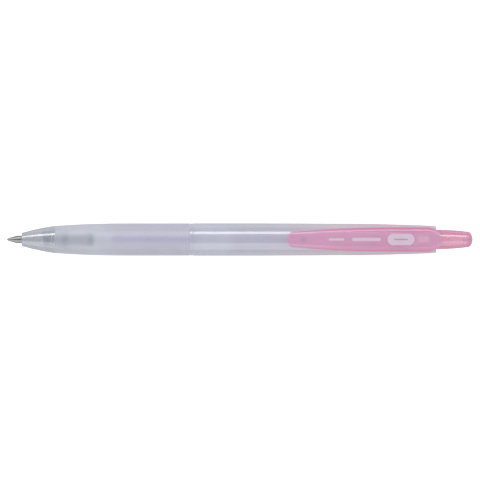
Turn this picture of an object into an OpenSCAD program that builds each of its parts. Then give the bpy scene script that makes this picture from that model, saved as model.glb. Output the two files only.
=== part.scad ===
// Retractable gel pen with a clicking button, a refill, a clear grip and a springy clip.
// The pen lies along X: writing tip at -X, button at +X, clip on top (+Z), barrel resting on Z = 0.
// Every place along the pen is a distance from the front of the writing ball, in millimetres.

/* [Overall] */
// Length from the writing ball to the end of the button, with the tip out
total_len = 141; // [140.8:0.1:141.2]
// Widest radius of the barrel
barrel_r = 4.9; // [4.88:0.01:4.92]

/* [Nose and grip] */
// Where the flat face of the nose lies
nose_at = 4.4; // [4.2:0.1:4.6]
// Radius of that face
nose_r = 2; // [1.9:0.05:2.1]
// Where the clear rubber grip starts
grip_at = 14.5; // [14.3:0.1:14.8]
// Where the grip's taper ends and its cylinder starts
grip_straight_at = 35; // [33:0.5:37]
// Radius of the grip's cylinder
grip_r = 4.88; // [4.86:0.01:4.88]
// Where the grip ends
grip_end = 55.3; // [55.2:0.05:55.35]

/* [Rear barrel] */
// Where the two halves of the barrel meet
joint_at = 56.4; // [56.35:0.05:56.5]
// Where its true cylinder ends and it starts to narrow a little
cylinder_end = 76; // [74:0.5:80]
// Where it starts to narrow more
taper_at = 103; // [100:1:106]
// How much its radius drops from there to its end
taper_drop = 0.73; // [0.7:0.01:0.76]
// Where the rear barrel ends
barrel_end = 130; // [129.9:0.05:130.1]

/* [Click mechanism] */
// How far the button goes in past the locked place
press_travel = 1.5; // [1:0.1:1.5]
// How far the tip, refill and button go back when the pen is closed
retract_travel = 5.4; // [5:0.1:5.4]
// Number of grooves that guide the button and the rotor
grooves = 4; // [4]
// Number of teeth on the two crowns
teeth = 8; // [8]

/* [Clip] */
// Where the free end of the clip lies
clip_at = 84.8; // [84:0.1:86]
// Where the rear end of the clip lies
clip_end = 131.7; // [131.5:0.1:131.9]
// Half of the clip's greatest width
clip_half = 3.7; // [3.6:0.05:3.75]
// Height of the clip's ridge above the pen's axis
clip_top = 7.4; // [7.2:0.1:7.6]

/* [Hidden] */
round_fn = 96;
eps = 0.01;
// Gap left between two mouldings that are pushed together
fit = 0.02;
// Radial gap of a part that slides or turns in another
running = 0.08;
// Gap left to the next shoulder at each end of the travel
stop_gap = 0.3;

// Front barrel
tip_bore_r = 1.3;
holder_bore_r = 1.72;
spring_seat_at = 10.75;
spring_bore_r = 2.6;
refill_bore_at = 23.2;
refill_bore_r = 3.15;
core_start_r = 3.55;
core_r = 3.97;
core_full_at = 22;
collar_r = 4.83;
thread_end = 69.8;
thread_root_r = 3.9;
thread_crest_r = 4.15;
thread_pitch = 1;
thread_turns = 7;
thread_at = 59;
// Radial gap between the male and the female thread
thread_gap = 0.1;
// Where each crest starts and ends, and where the root starts again, as shares of the pitch
crest_from = 0.25;
crest_to = 0.4;
root_from = 0.65;

// Rear barrel, its guide ribs and the insert in its end
barrel_bore_r = 3.7;
bore_at = 70.2;
rib_r = 3.02;
rib_at = 110.8;
rib_end = 120.5;
rib_half = 1.3;
rib_tooth = 0.9;
insert_bore_r = 3;
foot_at = 126.1;
foot_len = 3.6;
foot_width = 1.9;
foot_gap = 0.15;

// Button, rotor and their crowns
button_r = insert_bore_r - running;
button_tip_r = 2.4;
button_rod_r = 2.6;
button_bore_r = 1.5;
button_at = 111;
crown_depth = 0.7;
fin_r = 3.55;
fin_half = 0.85;
// How deep a fin's root reaches into its rod
root_overlap = 0.3;
rotor_at = 104.7;
rotor_r = 2.55;
rotor_end = button_at - 0.1;
rotor_stem_r = button_bore_r - running;

// Refill
ball_r = 0.35;
tip_r = 1.19;
tip_shoulder_at = 2.95;
tip_spigot_r = 0.95;
holder_at = 10.4;
holder_bore_at = holder_at - press_travel - stop_gap;
holder_r = 1.6;
flange_at = 26.25;
tube_at = 27;
tube_r = 2.95;
tube_bore_r = 2.2;
tube_end = 104;
chamber_at = 13.5;
chamber_end = 16.6;
chamber_r = 1;
check_ball_r = 0.75;
check_ball_at = 15.3;
channel_r = 0.5;
// Length of the cone that the check ball closes, between its chamber and the channel
seat_len = 0.5;
// Length and mouth radius of the funnel between the ink tube and the channel
funnel_len = 2.6;
funnel_r = 1.9;
ink_at = 31.7;
ink_end = 92;
follower_end = 97.5;
plug_flange = 0.6;
plug_depth = 3.4;
vent_r = 0.4;
plug_recess_r = 1.35;

// Spring
wire_r = 0.18;
coil_r = 2.1;
// Turns and length of each stretch: closed, open, closed, open, closed
coil_turns = [5, 4, 4, 6, 4];
coil_lengths = [1.95, 3.8, 1.55, 6.2, 1.6];
turn_steps = 12;
wire_sides = 6;

// Puts a shape drawn along +Z, with +X as the clip's side, onto the pen's axis.
module on_pen() {
    translate([-total_len / 2, 0, barrel_r]) rotate([0, 90, 0]) rotate([0, 0, 180]) children();
}

// Turns an outline of [radius, distance] points about the pen's axis.
module turned(points) {
    rotate_extrude($fn = round_fn) polygon(points);
}

// Extrudes an outline of [sideways, distance] points outwards from the axis, from radius r0 to r1.
module outwards(points, r0, r1) {
    translate([r0, 0, 0]) rotate([90, 0, 90]) linear_extrude(height = r1 - r0) polygon(points);
}

module each_turn(count, first = 0) {
    for (i = [0 : count - 1]) rotate([0, 0, first + i * 360 / count]) children();
}

// Keeps a shape between two radii.
module between_radii(r0, r1, from, to) {
    intersection() {
        children();
        turned([[r0, from], [r1, from], [r1, to], [r0, to]]);
    }
}

// Points of a curve given as a function of the distance.
function curve(radius, from, to, steps) =
    [for (i = [0 : steps]) let (s = from + (to - from) * i / steps) [radius(s), s]];

// Points of a quarter circle that rounds an edge, from one angle to another.
function round_edge(centre_r, centre_s, r, from, to, steps = 5) =
    [for (i = [0 : steps]) let (a = from + (to - from) * i / steps)
        [centre_r + r * cos(a), centre_s + r * sin(a)]];

// Outer radius of the nose: a parabola from the face to the grip.
grip_start_r = 4.12;
nose_slope = 0.2847;
nose_len = grip_at - nose_at;
nose_bend = (nose_slope * nose_len - (grip_start_r - nose_r)) / pow(nose_len, 2);
nose_radius = function(s) nose_r + nose_slope * (s - nose_at) - nose_bend * pow(s - nose_at, 2);

// Outer radius of the grip where it tapers: a parabola that ends tangent to the cylinder.
grip_radius = function(s)
    grip_r - (grip_r - grip_start_r) * pow((grip_straight_at - s) / (grip_straight_at - grip_at), 2);

// Outer radius of the rear barrel where it narrows.
body_drop = 0.11;
taper_start_r = barrel_r - body_drop;
taper_power = 1.7;
barrel_radius = function(s)
    taper_start_r - taper_drop * pow((s - taper_at) / (barrel_end - taper_at), taper_power);

// Ring-shaped thread crests, as an outline that runs from the first one to the last.
function thread_outline(root, crest, from, turns, pitch) =
    [for (i = [0 : turns - 1]) let (s = from + i * pitch) each
        [[root, s], [crest, s + crest_from * pitch], [crest, s + crest_to * pitch],
        [root, s + root_from * pitch]]];

module front_barrel() {
    nose_edge = 0.15;
    groove_at = grip_end + 0.65;
    groove_depth = 0.06;
    spigot_chamfer = 0.3;
    spring_bore_ramp = 0.7;
    tip_bore_ramp = 0.4;
    color([0.75, 0.76, 0.82, 0.6]) on_pen() turned(concat(
        [[tip_bore_r, nose_at]],
        round_edge(nose_r - nose_edge, nose_at + nose_edge, nose_edge, -90, -15),
        curve(nose_radius, nose_at + nose_edge, grip_at - fit, 14),
        [[core_start_r, grip_at - fit], [core_r, core_full_at], [core_r, grip_end + fit]],
        [[collar_r, grip_end + fit], [collar_r, groove_at - groove_depth]],
        [[collar_r - groove_depth, groove_at]],
        [[collar_r, groove_at + groove_depth], [collar_r, joint_at - fit], [thread_root_r, joint_at - fit]],
        thread_outline(thread_root_r, thread_crest_r, thread_at, thread_turns, thread_pitch),
        [[thread_root_r, thread_end - spigot_chamfer], [thread_root_r - spigot_chamfer, thread_end]],
        [[refill_bore_r, thread_end], [refill_bore_r, refill_bore_at]],
        [[spring_bore_r, refill_bore_at - spring_bore_ramp], [spring_bore_r, spring_seat_at]],
        [[holder_bore_r, spring_seat_at], [holder_bore_r, holder_bore_at],
            [tip_bore_r, holder_bore_at - tip_bore_ramp]]
    ));
}

module grip() {
    ring_at = grip_end - 1.5;
    ring_depth = 0.04;
    ring_half = 0.12;
    ring_gap = 0.8;
    lip = 0.12;
    color([0.74, 0.74, 0.8, 0.6]) on_pen() turned(concat(
        [[core_start_r + fit, grip_at]],
        curve(grip_radius, grip_at, grip_straight_at, 12),
        [for (i = [0, 1]) let (s = ring_at + i * ring_gap) each
            [[grip_r, s - ring_half], [grip_r - ring_depth, s], [grip_r, s + ring_half]]],
        round_edge(grip_r - lip, grip_end - lip, lip, 0, 90),
        [[core_r + fit, grip_end], [core_r + fit, core_full_at]]
    ));
}

module clip_slot(r0, r1) {
    half_len = foot_len / 2 + foot_gap;
    half_width = foot_width / 2 + foot_gap;
    outwards([[-half_width, foot_at - half_len], [half_width, foot_at - half_len],
        [half_width, foot_at + half_len], [-half_width, foot_at + half_len]], r0, r1);
}

// One rib: its sides guide the fins, and the two slopes of its front end turn and then hold the rotor.
module guide_rib() {
    slope_end = rib_at + rib_tooth;
    second_slope = 0.1;
    // How deep the rib's root reaches into the barrel's wall
    rib_root = 0.05;
    between_radii(rib_r, barrel_bore_r + rib_root, rib_at, rib_end)
        outwards([[-rib_half, rib_at], [0, slope_end], [0, rib_at + second_slope],
            [rib_half, slope_end + second_slope], [rib_half, rib_end], [-rib_half, rib_end]],
            rib_r - 1, barrel_bore_r + 1);
}

module rear_barrel() {
    end_edge = 0.3;
    front_chamfer = 0.12;
    end_r = barrel_radius(barrel_end);
    thread_bore_r = thread_root_r + thread_gap;
    groove_widen = 0.1;
    taper_lead = 2;
    color([0.76, 0.77, 0.86, 0.6]) on_pen() difference() {
        union() {
            turned(concat(
                [[thread_bore_r, joint_at], [barrel_r - front_chamfer, joint_at]],
                [[barrel_r, joint_at + front_chamfer], [barrel_r, cylinder_end], [taper_start_r, taper_at]],
                curve(barrel_radius, taper_at + taper_lead, barrel_end - end_edge, 10),
                round_edge(end_r - end_edge, barrel_end - end_edge, end_edge, 15, 90),
                [[barrel_bore_r, barrel_end], [barrel_bore_r, bore_at], [thread_bore_r, bore_at]],
                [for (i = [thread_turns - 1 : -1 : 0]) let (s = thread_at + i * thread_pitch) each
                    [[thread_bore_r, s + root_from * thread_pitch + groove_widen],
                    [thread_crest_r + thread_gap, s + crest_to * thread_pitch + groove_widen],
                    [thread_crest_r + thread_gap, s + crest_from * thread_pitch - groove_widen],
                    [thread_bore_r, s - groove_widen]]]
            ));
            each_turn(grooves, 180 / grooves) guide_rib();
        }
        clip_slot(3, 6);
    }
}

module tail_insert() {
    mouth_chamfer = 0.2;
    color([0.93, 0.6, 0.76, 0.8]) on_pen() difference() {
        turned([[insert_bore_r, rib_end + fit], [barrel_bore_r - fit, rib_end + fit],
            [barrel_bore_r - fit, barrel_end],
            [insert_bore_r + mouth_chamfer, barrel_end], [insert_bore_r, barrel_end - mouth_chamfer]]);
        clip_slot(2, 5);
    }
}

// The clip seen from above: two shallow arcs for its sides, a round rear end and a blunt free end.
module clip_plan() {
    widest_at = 117;
    side_arc_r = 350;
    free_corner_r = 1.5;
    function side(s) = clip_half - pow(max(widest_at - s, 0), 2) / (2 * side_arc_r);
    rear_round = 4.7;
    straight_from = clip_at + free_corner_r;
    straight_to = clip_end - rear_round;
    free_half = side(straight_from);
    rear_half = side(straight_to);
    free_corner = [for (a = [90 : 15 : 180]) [straight_from + free_corner_r * cos(a),
        free_half - free_corner_r + free_corner_r * sin(a)]];
    upper = [for (i = [0 : 20]) let (s = straight_to - (straight_to - straight_from) * i / 20) [s, side(s)]];
    rear = [for (a = [0 : 15 : 75]) [straight_to + (clip_end - straight_to) * cos(a), rear_half * sin(a)]];
    half = concat(rear, upper, free_corner);
    polygon(concat(half, [for (i = [len(half) - 1 : -1 : 1]) [half[i][0], -half[i][1]]]));
}

// The clip seen from the side: [distance, height above the axis].
module clip_side() {
    root_under = 4.72;
    arm_under = 5.75;
    step_from = 117.5;
    step_to = 121.5;
    free_top = 6.75;
    free_chamfer = 1.6;
    free_lift = 0.35;
    free_face = 0.5;
    tail_top = 5.9;
    tail_edge = 0.5;
    tail_drop = 0.6;
    tail_chamfer = [0.2, 0.15];
    crest_at = 112;
    front_drop = (clip_top - free_top) / pow(crest_at - clip_at, 2);
    rear_drop = (clip_top - tail_top) / pow(clip_end - crest_at, 3);
    top_front = [for (i = [0 : 8]) let (s = clip_at + free_face + (crest_at - clip_at - free_face) * i / 8)
        [s, clip_top - front_drop * pow(crest_at - s, 2)]];
    top_rear = [for (i = [1 : 8]) let (s = crest_at + (clip_end - tail_edge - crest_at) * i / 8)
        [s, clip_top - rear_drop * pow(s - crest_at, 3)]];
    polygon(concat(
        [[clip_at, arm_under + free_face]], top_front, top_rear,
        [[clip_end, tail_top - tail_drop], [clip_end, root_under + tail_chamfer.y]],
        [[clip_end - tail_chamfer.x, root_under]],
        [[step_to, root_under], [step_from, arm_under], [clip_at + free_chamfer, arm_under],
        [clip_at, arm_under + free_lift]]
    ));
}

module clip() {
    crown_r = 9;
    nub_at = 89.8;
    nub_r = 0.85;
    nub_reach = 4.89;
    foot_bottom = insert_bore_r + 0.12;
    foot_overlap = 2;
    // Size of the blocks that the plan and the side view are cut from
    blank = 60;
    color([0.93, 0.6, 0.78, 0.85]) on_pen() union() {
        intersection() {
            rotate([0, -90, 180]) linear_extrude(height = blank, center = true) clip_plan();
            rotate([90, 0, 0]) mirror([1, -1, 0]) linear_extrude(height = blank, center = true) clip_side();
            translate([clip_top - crown_r, 0, clip_at - 1]) cylinder(r = crown_r, h = blank, $fn = round_fn);
        }
        translate([nub_reach + nub_r, 0, nub_at]) sphere(r = nub_r, $fn = 48);
        outwards([[-foot_width / 2, foot_at - foot_len / 2], [foot_width / 2, foot_at - foot_len / 2],
            [foot_width / 2, foot_at + foot_len / 2], [-foot_width / 2, foot_at + foot_len / 2]],
            foot_bottom, clip_top - foot_overlap);
    }
}

// Triangular notches that leave a crown of teeth on an end face.
module crown_notches(radius, mouth, bottom) {
    half_pitch = PI * radius / teeth;
    each_turn(teeth) outwards([[-half_pitch, mouth], [half_pitch, mouth], [0, bottom]], 0, radius + 1);
}

module push_button() {
    rod_end = rib_end - retract_travel - stop_gap;
    shoulder = 0.3;
    fin_at = 111.9;
    // How much smaller than the rotor's fins the button's are
    guide_trim = 0.05;
    guide_half = fin_half - guide_trim;
    straight_end = 132;
    taper_end = 139.2;
    slimming = 1.55;
    cap_flat = 2.8;
    cap_round = 0.62;
    taper = function(s)
        button_r - (button_r - button_tip_r) * pow((s - straight_end) / (taper_end - straight_end), slimming);
    // The rounded end: flat in its middle, with soft corners.
    end_cap = function(s)
        button_tip_r * pow(1 - pow((s - taper_end) / (total_len - taper_end), cap_flat), cap_round);
    bore_end = 138.6;
    color([0.94, 0.62, 0.74, 0.9]) on_pen() difference() {
        union() {
            turned(concat(
                [[0, button_at], [button_rod_r, button_at], [button_rod_r, rod_end]],
                [[button_r, rod_end + shoulder]],
                curve(taper, straight_end, taper_end, 8),
                [for (i = [1 : 10]) let (s = taper_end + (total_len - taper_end) * sin(9 * i))
                    [i < 10 ? end_cap(s) : 0, s]]
            ));
            each_turn(grooves) outwards([[-guide_half, fin_at], [guide_half, fin_at],
                [guide_half, rod_end], [-guide_half, rod_end]],
                button_rod_r - root_overlap, fin_r - guide_trim);
        }
        translate([0, 0, button_at - 1])
            cylinder(r = button_bore_r, h = bore_end - button_at + 1, $fn = round_fn);
        crown_notches(button_rod_r, button_at - eps, button_at + crown_depth);
    }
}

module rotor() {
    fin_at = 107;
    fin_end = 110;
    fin_slope = 0.5;
    boss_r = plug_recess_r - 0.15;
    boss_len = 0.8;
    boss_at = rotor_at - boss_len;
    neck_r = rotor_stem_r - 0.22;
    neck_len = 1;
    stem_end = 116.5;
    stem_chamfer = 0.3;
    color([0.9, 0.9, 0.9]) on_pen() union() {
        difference() {
            turned([[0, boss_at], [boss_r, boss_at], [boss_r, rotor_at], [rotor_r, rotor_at],
                [rotor_r, rotor_end], [0, rotor_end]]);
            crown_notches(rotor_r, rotor_end + eps, rotor_end - crown_depth);
        }
        each_turn(grooves) outwards([[-fin_half, fin_at], [fin_half, fin_at],
            [fin_half, fin_end + fin_slope], [-fin_half, fin_end - fin_slope]],
            rotor_r - root_overlap, fin_r);
        turned([[0, boss_at], [neck_r, boss_at], [neck_r, rotor_at], [rotor_stem_r, rotor_at + neck_len],
            [rotor_stem_r, stem_end - stem_chamfer], [rotor_stem_r - stem_chamfer, stem_end], [0, stem_end]]);
    }
}

// Sum of the first n entries of a list.
function sum_to(list, n) = n <= 0 ? 0 : list[n - 1] + sum_to(list, n - 1);

// Distance along the spring after a number of turns.
function coil_at(turn, part = 0) =
    part < len(coil_turns) - 1 && turn > sum_to(coil_turns, part + 1) ? coil_at(turn, part + 1)
    : sum_to(coil_lengths, part) + coil_lengths[part] * (turn - sum_to(coil_turns, part)) / coil_turns[part];

module spring() {
    turns = sum_to(coil_turns, len(coil_turns));
    rings = ceil(turns * turn_steps);
    start = spring_seat_at + wire_r + fit;
    points = [for (i = [0 : rings]) let (turn = turns * i / rings, a = 360 * turn)
        for (k = [0 : wire_sides - 1]) let (b = 360 * k / wire_sides, r = coil_r + wire_r * cos(b))
            [r * cos(a), r * sin(a), start + coil_at(turn) + wire_r * sin(b)]];
    sides = [for (i = [0 : rings - 1]) for (k = [0 : wire_sides - 1])
        let (k2 = (k + 1) % wire_sides, a = i * wire_sides, b = (i + 1) * wire_sides) each
            [[a + k, a + k2, b + k2], [a + k, b + k2, b + k]]];
    front_cap = [for (k = [wire_sides - 1 : -1 : 0]) k];
    rear_cap = [for (k = [0 : wire_sides - 1]) rings * wire_sides + k];
    color([0.65, 0.67, 0.7]) on_pen() polyhedron(points, concat([front_cap], sides, [rear_cap]));
}

module tip() {
    // The crimped lip holds the ball in a socket, which a narrow channel feeds from the bore.
    lip_at = 0.2;
    lip_r = [0.32, 0.38];
    socket_r = 0.37;
    socket_from = 0.3;
    socket_to = 0.52;
    feed_r = 0.2;
    feed_from = 0.74;
    feed_to = 1.6;
    bore_r = 0.55;
    bore_from = 2;
    shoulder_edge = 0.05;
    spigot_end = chamber_at - 0.3;
    color([0.8, 0.8, 0.78]) on_pen() turned([
        [lip_r[0], lip_at], [lip_r[1], lip_at],
        [tip_r - shoulder_edge, tip_shoulder_at - 2 * shoulder_edge],
        [tip_r, tip_shoulder_at + shoulder_edge],
        [tip_r, holder_at - fit], [tip_spigot_r, holder_at - fit], [tip_spigot_r, spigot_end],
        [bore_r, spigot_end], [bore_r, bore_from], [feed_r, feed_to], [feed_r, feed_from],
        [socket_r, socket_to], [socket_r, socket_from]
    ]);
}

module tip_ball() {
    color([0.45, 0.45, 0.47]) on_pen() translate([0, 0, ball_r]) sphere(r = ball_r, $fn = 48);
}

module tip_holder() {
    nose_draft = [0.15, 2];
    mouth_edge = 0.2;
    color([0.9, 0.92, 0.94, 0.6]) on_pen() turned([
        [tip_spigot_r + fit, holder_at], [holder_r - nose_draft[0], holder_at],
        [holder_r, holder_at + nose_draft[1]],
        [holder_r, flange_at], [tube_r, flange_at],
        [tube_r, tube_at - fit], [tube_bore_r - fit, tube_at - fit],
        [tube_bore_r - fit, ink_at - mouth_edge], [tube_bore_r - mouth_edge, ink_at], [funnel_r, ink_at],
        [channel_r, ink_at - funnel_len], [channel_r, chamber_end + seat_len], [chamber_r, chamber_end],
        [chamber_r, chamber_at], [tip_spigot_r + fit, chamber_at]
    ]);
}

module check_ball() {
    color([0.7, 0.7, 0.72]) on_pen() translate([0, 0, check_ball_at]) sphere(r = check_ball_r, $fn = 48);
}

module refill_tube() {
    color([0.92, 0.93, 0.96, 0.5]) on_pen()
        turned([[tube_bore_r, tube_at], [tube_r, tube_at], [tube_r, tube_end], [tube_bore_r, tube_end]]);
}

module ink() {
    ink_from = chamber_end + seat_len + 0.1;
    color([0.68, 0.63, 0.86]) on_pen() turned([
        [0, ink_from], [channel_r - fit, ink_from], [channel_r - fit, ink_at - funnel_len],
        [funnel_r - fit, ink_at + fit], [tube_bore_r - fit, ink_at + fit],
        [tube_bore_r - fit, ink_end], [0, ink_end]
    ]);
}

module ink_follower() {
    hollow = 0.8;
    color([0.9, 0.88, 0.8, 0.7]) on_pen()
        turned([[0, ink_end + fit], [tube_bore_r - fit, ink_end + fit], [tube_bore_r - fit, follower_end],
            [0, follower_end - hollow]]);
}

module tail_plug() {
    plug_at = tube_end - plug_depth;
    plug_end = tube_end + fit + plug_flange;
    lead_in = [0.2, 0.4];
    recess_depth = 1.2;
    color([0.93, 0.93, 0.93]) on_pen() turned([
        [vent_r, plug_at], [tube_bore_r - lead_in[0], plug_at],
        [tube_bore_r - fit, plug_at + lead_in[1]], [tube_bore_r - fit, tube_end + fit],
        [tube_r, tube_end + fit], [tube_r, plug_end], [plug_recess_r, plug_end],
        [plug_recess_r, plug_end - recess_depth], [vent_r, plug_end - recess_depth]
    ]);
}

front_barrel();
grip();
rear_barrel();
tail_insert();
clip();
push_button();
rotor();
spring();
tip();
tip_ball();
tip_holder();
check_ball();
refill_tube();
ink();
ink_follower();
tail_plug();
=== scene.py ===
"""Looks of a retractable gel pen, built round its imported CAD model.

Places along the pen are distances from the front of the writing ball, in millimetres, as in the CAD source.
Radii and heights are measured from the pen's axis.
"""

import math

import bmesh
import bpy
from mathutils import Matrix, Vector


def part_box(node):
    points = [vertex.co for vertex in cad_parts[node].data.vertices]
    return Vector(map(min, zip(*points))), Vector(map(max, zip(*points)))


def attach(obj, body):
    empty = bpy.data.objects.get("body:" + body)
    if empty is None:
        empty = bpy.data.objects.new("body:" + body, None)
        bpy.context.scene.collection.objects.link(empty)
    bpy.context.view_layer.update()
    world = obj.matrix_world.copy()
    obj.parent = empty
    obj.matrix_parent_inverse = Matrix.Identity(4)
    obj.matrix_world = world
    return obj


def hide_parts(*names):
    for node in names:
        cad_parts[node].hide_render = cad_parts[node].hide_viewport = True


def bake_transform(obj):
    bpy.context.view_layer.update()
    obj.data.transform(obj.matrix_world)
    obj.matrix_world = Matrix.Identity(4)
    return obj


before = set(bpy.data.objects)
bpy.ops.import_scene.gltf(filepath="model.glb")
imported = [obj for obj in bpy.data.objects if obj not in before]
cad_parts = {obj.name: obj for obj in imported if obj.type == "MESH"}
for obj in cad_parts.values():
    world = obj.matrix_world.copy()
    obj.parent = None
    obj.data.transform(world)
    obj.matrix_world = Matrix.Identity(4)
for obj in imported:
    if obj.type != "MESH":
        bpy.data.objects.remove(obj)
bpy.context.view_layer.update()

MM = 0.001
LENGTH = round((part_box("push_button")[1].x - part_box("tip_ball")[0].x) / MM, 1)
AXIS_H = (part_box("refill_tube")[0].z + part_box("refill_tube")[1].z) / 2 / MM
SEGMENTS = 128


def place(s, y=0.0, z=0.0):
    """A point in the row frame, in metres, from millimetres along the pen, sideways and above its axis."""
    return Vector(((s - LENGTH / 2) * MM, y * MM, (AXIS_H + z) * MM))


def polar(s, r, angle):
    """The point at radius r and at angle from the clip's side, turning towards +Y."""
    return place(s, r * math.sin(angle), r * math.cos(angle))


# ---------------------------------------------------------------- outlines


def fillet(points, steps=4):
    """An outline of (s, r) or (s, r, rounding) points, with an arc at each corner that has a rounding."""
    out = []
    count = len(points)
    for i, p in enumerate(points):
        here = Vector(p[:2])
        radius = p[2] if len(p) > 2 else 0
        if not radius:
            out.append((here.x, here.y))
            continue
        a = Vector(points[i - 1][:2]) - here
        b = Vector(points[(i + 1) % count][:2]) - here
        half = a.angle(b) / 2
        reach = min(radius / math.tan(half), a.length * 0.49, b.length * 0.49)
        a, b = a.normalized(), b.normalized()
        middle = here + (a + b).normalized() * reach / math.cos(half)
        first, last = here + a * reach - middle, here + b * reach - middle
        turn = first.angle_signed(last)
        for k in range(steps + 1):
            angle = -turn * k / steps
            c, n = math.cos(angle), math.sin(angle)
            v = middle + Vector((first.x * c - first.y * n, first.x * n + first.y * c))
            out.append((v.x, v.y))
    return out


def curve(fn, start, end, steps):
    """Points of an outline whose radius is a function of the place."""
    places = [start + (end - start) * i / steps for i in range(steps + 1)]
    return [(s, fn(s)) for s in places]


# ---------------------------------------------------------------- meshes


def finish_mesh(name, bm, body, materials, replaced, sharp=32):
    """Turns a bmesh into a piece that rides on a body, stands for CAD nodes and has smooth shading."""
    bmesh.ops.recalc_face_normals(bm, faces=bm.faces)
    mesh = bpy.data.meshes.new(name)
    bm.to_mesh(mesh)
    bm.free()
    for m in materials if isinstance(materials, list) else [materials]:
        mesh.materials.append(m)
    for p in mesh.polygons:
        p.use_smooth = True
    mesh.set_sharp_from_angle(angle=math.radians(sharp))
    obj = bpy.data.objects.new(name, mesh)
    bpy.context.scene.collection.objects.link(obj)
    if body:
        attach(obj, body)
    if replaced:
        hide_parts(*replaced)
    return obj


def lathe(bm, outline, shift=None, segments=SEGMENTS, index=None):
    """Adds an outline turned about the pen's axis. shift(s, r, angle) may move each point of it."""
    rings = []
    for s, r in outline:
        if r <= 1e-6:
            rings.append([bm.verts.new(place(s))])
            continue
        ring = []
        for k in range(segments):
            angle = 2 * math.pi * k / segments
            s2, r2 = shift(s, r, angle) if shift else (s, r)
            ring.append(bm.verts.new(polar(s2, r2, angle)))
        rings.append(ring)
    for i, a in enumerate(rings):
        b = rings[(i + 1) % len(rings)]
        if len(a) == 1 and len(b) == 1:
            continue
        for k in range(segments):
            n = (k + 1) % segments
            if len(a) == 1:
                corners = [a[0], b[n], b[k]]
            elif len(b) == 1:
                corners = [a[k], a[n], b[0]]
            else:
                corners = [a[k], a[n], b[n], b[k]]
            face = bm.faces.new(corners)
            if index:
                face.material_index = index(i)


def turned(name, outline, body, materials, replaced, shift=None, index=None, sharp=32, extra=None):
    bm = bmesh.new()
    lathe(bm, outline, shift=shift, index=index)
    if extra:
        extra(bm)
    return finish_mesh(name, bm, body, materials, replaced, sharp)


def join(bm, part, index):
    """Adds a shape to a piece, with one of the piece's materials, and frees the shape."""
    for f in part.faces:
        f.material_index = index
    scratch = bpy.data.meshes.new("scratch")
    part.to_mesh(scratch)
    part.free()
    bm.from_mesh(scratch)
    bpy.data.meshes.remove(scratch)


def block(bm, s0, s1, r0, r1, half, angle=0.0, bevel=0.1, slope=0.0, index=0):
    """Adds a bevelled block from radius r0 to r1, at an angle round the axis, with a sloping rear end."""
    part = bmesh.new()
    rows = [(s0, s0), (s1 + slope, s1 - slope)]
    corners = []
    for row in rows:
        for y, s in zip((-half, half), row):
            for r in (r0, r1):
                corners.append((s, y, r))
    verts = []
    for s, y, r in corners:
        c, n = math.cos(angle), math.sin(angle)
        verts.append(part.verts.new(place(s, r * n + y * c, r * c - y * n)))
    for quad in ((0, 1, 3, 2), (4, 6, 7, 5), (0, 4, 5, 1), (2, 3, 7, 6), (0, 2, 6, 4), (1, 5, 7, 3)):
        part.faces.new([verts[q] for q in quad])
    bmesh.ops.recalc_face_normals(part, faces=part.faces)
    bmesh.ops.bevel(
        part, geom=list(part.edges), offset=bevel * MM, segments=3, profile=0.5, affect="EDGES",
        clamp_overlap=True,
    )
    join(bm, part, index)


def cut(obj, cutter):
    """Takes the cutter's shape out of a piece and keeps the result as the piece's own mesh."""
    boolean = obj.modifiers.new("cut", "BOOLEAN")
    boolean.operation = "DIFFERENCE"
    boolean.solver = "EXACT"
    boolean.object = cutter
    made = bpy.data.meshes.new_from_object(obj.evaluated_get(bpy.context.evaluated_depsgraph_get()))
    obj.modifiers.remove(boolean)
    old, obj.data = obj.data, made
    name = old.name
    bpy.data.meshes.remove(old)
    made.name = name
    for p in made.polygons:
        p.use_smooth = True
    made.set_sharp_from_angle(angle=math.radians(32))


# ---------------------------------------------------------------- materials

# The greatest share of a plastic's look that its mirror-like shine can take, at the outline
MOST_SHINE = 0.3


def blended(nodes, links, coords, first, axis, start, end, other):
    """A second colour that takes over with the distance along an axis of the frame, from start to end."""
    split = nodes.new("ShaderNodeSeparateXYZ")
    links.new(coords, split.inputs["Vector"])
    size = nodes.new("ShaderNodeMath")
    size.operation = "ABSOLUTE" if axis == "Y" else "ADD"
    size.inputs[1].default_value = 0.0
    links.new(split.outputs[axis], size.inputs[0])
    share = nodes.new("ShaderNodeMapRange")
    share.interpolation_type = "SMOOTHSTEP"
    share.inputs["From Min"].default_value = start
    share.inputs["From Max"].default_value = end
    links.new(size.outputs["Value"], share.inputs["Value"])
    mixed = nodes.new("ShaderNodeMix")
    mixed.data_type = "RGBA"
    links.new(share.outputs["Result"], mixed.inputs[0])
    links.new(first, mixed.inputs[6])
    mixed.inputs[7].default_value = [*other, 1]
    return mixed.outputs[2]


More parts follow.
